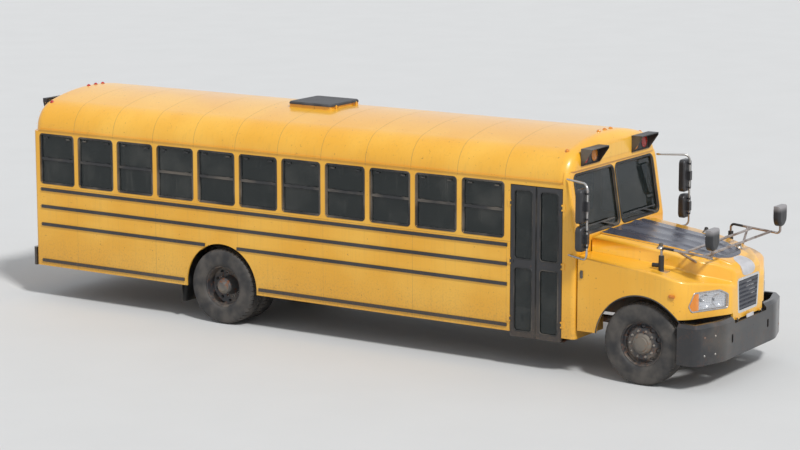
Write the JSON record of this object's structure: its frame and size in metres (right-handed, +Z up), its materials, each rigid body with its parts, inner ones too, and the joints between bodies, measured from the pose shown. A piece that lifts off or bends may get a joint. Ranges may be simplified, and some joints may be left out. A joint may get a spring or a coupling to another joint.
{
  "type": "school bus with a hood",
  "caption": "Yellow school bus with a tilting hood and fenders, folding entrance door, rear exit door, stop arm, steered front wheels and twin rear wheels.",
  "frame": {"origin": "on the ground under the middle of the overall length and width", "axes": "+Z up, nose towards -Y, entrance door on the -X side"},
  "size_m": [3.048, 10.82, 3.05],
  "materials": {
    "yellow_paint": "satin",
    "black_paint": "satin",
    "frame_paint": "matte",
    "cast": "matte",
    "chrome": "gloss",
    "steel": "satin",
    "aluminium": "satin",
    "glass": "gloss",
    "lens": "gloss",
    "clear_lens": "gloss",
    "plastic": "matte",
    "rubber": "matte",
    "tyre": "matte",
    "wheel_paint": "satin",
    "vinyl": "satin",
    "stop_red": "satin"
  },
  "bodies": {
    "chassis": {"frame_rails": "frame_paint", "engine": "cast", "radiator": "aluminium", "front_axle": "frame_paint", "leaf_springs": "steel", "rear_axle": "frame_paint", "fuel_tank": "frame_paint", "exhaust": "steel", "front_bumper": "black_paint", "rear_bumper": "black_paint", "floor": "frame_paint", "step_well": "frame_paint", "side_wall_left": "yellow_paint", "side_wall_right": "yellow_paint", "roof": "yellow_paint", "roof_caps": "yellow_paint", "front_wall": "yellow_paint", "rear_wall": "yellow_paint", "window_frames": "aluminium", "window_glass": "glass", "windshield": "glass", "rub_rails": "black_paint", "lamp_visors": "black_paint", "warning_lamps": "lens", "tail_lamps": "lens", "passenger_seats": "vinyl", "driver_seat": "vinyl", "dashboard": "plastic", "mirror_arms": "steel", "mirror_heads": "plastic", "wipers": "black_paint", "mud_flaps": "rubber", "stop_bracket": "black_paint"},
    "hood": {"hood": "yellow_paint", "grille": "chrome", "headlamps": "clear_lens", "crossview_frames": "steel", "crossview_heads": "plastic"},
    "door_front": {"door_front_leaf": "black_paint", "door_front_glass": "glass"},
    "door_rear": {"door_rear_leaf": "black_paint", "door_rear_glass": "glass"},
    "rear_exit": {"emergency_door": "yellow_paint", "emergency_glass": "glass"},
    "hatch": {"roof_hatch": "plastic"},
    "stop_sign_arm": {"stop_arm": "stop_red"},
    "steering_wheel": {"steering_wheel": "plastic"},
    "knuckle_left": {"knuckle_left": "cast"},
    "knuckle_right": {"knuckle_right": "cast"},
    "tie_rod": {"tie_rod": "steel"},
    "wheel_front_left": {"rim_front_left": "wheel_paint", "tyre_front_left": "tyre"},
    "wheel_front_right": {"rim_front_right": "wheel_paint", "tyre_front_right": "tyre"},
    "wheels_rear_left": {"rims_rear_left": "wheel_paint", "tyres_rear_left": "tyre"},
    "wheels_rear_right": {"rims_rear_right": "wheel_paint", "tyres_rear_right": "tyre"}
  },
  "joints": [
    {"name": "hood_tilt", "type": "hinge", "parent": "chassis", "child": "hood", "pos_m": [0, -5.383, 0.812], "axis": [1, 0, 0], "range_deg": [0, 55]},
    {"name": "door_front_swing", "type": "hinge", "parent": "chassis", "child": "door_front", "pos_m": [-1.227, -3.362, 1.4], "axis": [0, 0, 1], "range_deg": [0, 88]},
    {"name": "door_rear_swing", "type": "hinge", "parent": "chassis", "child": "door_rear", "pos_m": [-1.227, -2.618, 1.4], "axis": [0, 0, 1], "range_deg": [-88, 0]},
    {"name": "rear_exit_swing", "type": "hinge", "parent": "chassis", "child": "rear_exit", "pos_m": [-0.442, 5.348, 1.73], "axis": [0, 0, 1], "range_deg": [0, 100]},
    {"name": "hatch_lift", "type": "hinge", "parent": "chassis", "child": "hatch", "pos_m": [0, 0.731, 3.024], "axis": [1, 0, 0], "range_deg": [0, 60]},
    {"name": "stop_arm_swing", "type": "hinge", "parent": "chassis", "child": "stop_sign_arm", "pos_m": [1.255, -3.25, 1.475], "axis": [0, 0, -1], "range_deg": [0, 90]},
    {"name": "steer_left", "type": "hinge", "parent": "chassis", "child": "knuckle_left", "pos_m": [0.88, -4.46, 0.525], "axis": [0, 0, 1], "range_deg": [-35, 35]},
    {"name": "steer_right", "type": "hinge", "parent": "chassis", "child": "knuckle_right", "pos_m": [-0.88, -4.46, 0.525], "axis": [0, 0, 1], "range_deg": [-35, 35]},
    {"name": "tie_rod_pivot", "type": "hinge", "parent": "knuckle_left", "child": "tie_rod", "pos_m": [0.88, -4.27, 0.414], "axis": [0, 0, 1], "range_deg": [-35, 35]},
    {"name": "steering_wheel_turn", "type": "hinge", "parent": "chassis", "child": "steering_wheel", "pos_m": [0.64, -3.16, 1.7], "axis": [0, 0.5736, 0.8192], "range_deg": [-420, 420]},
    {"name": "wheel_front_left_spin", "type": "hinge", "parent": "knuckle_left", "child": "wheel_front_left", "pos_m": [1.025, -4.46, 0.525], "axis": [1, 0, 0], "continuous": true},
    {"name": "wheel_front_right_spin", "type": "hinge", "parent": "knuckle_right", "child": "wheel_front_right", "pos_m": [-1.025, -4.46, 0.525], "axis": [1, 0, 0], "continuous": true},
    {"name": "wheels_rear_left_spin", "type": "hinge", "parent": "chassis", "child": "wheels_rear_left", "pos_m": [0.915, 1.992, 0.525], "axis": [1, 0, 0], "continuous": true},
    {"name": "wheels_rear_right_spin", "type": "hinge", "parent": "chassis", "child": "wheels_rear_right", "pos_m": [-0.915, 1.992, 0.525], "axis": [1, 0, 0], "continuous": true}
  ],
  "couplings": [
    {"joint": "door_rear_swing", "follows": "door_front_swing", "ratio": -1},
    {"joint": "steer_right", "follows": "steer_left", "ratio": 1},
    {"joint": "tie_rod_pivot", "follows": "steer_left", "ratio": -1},
    {"joint": "steering_wheel_turn", "follows": "steer_left", "ratio": 12}
  ]
}
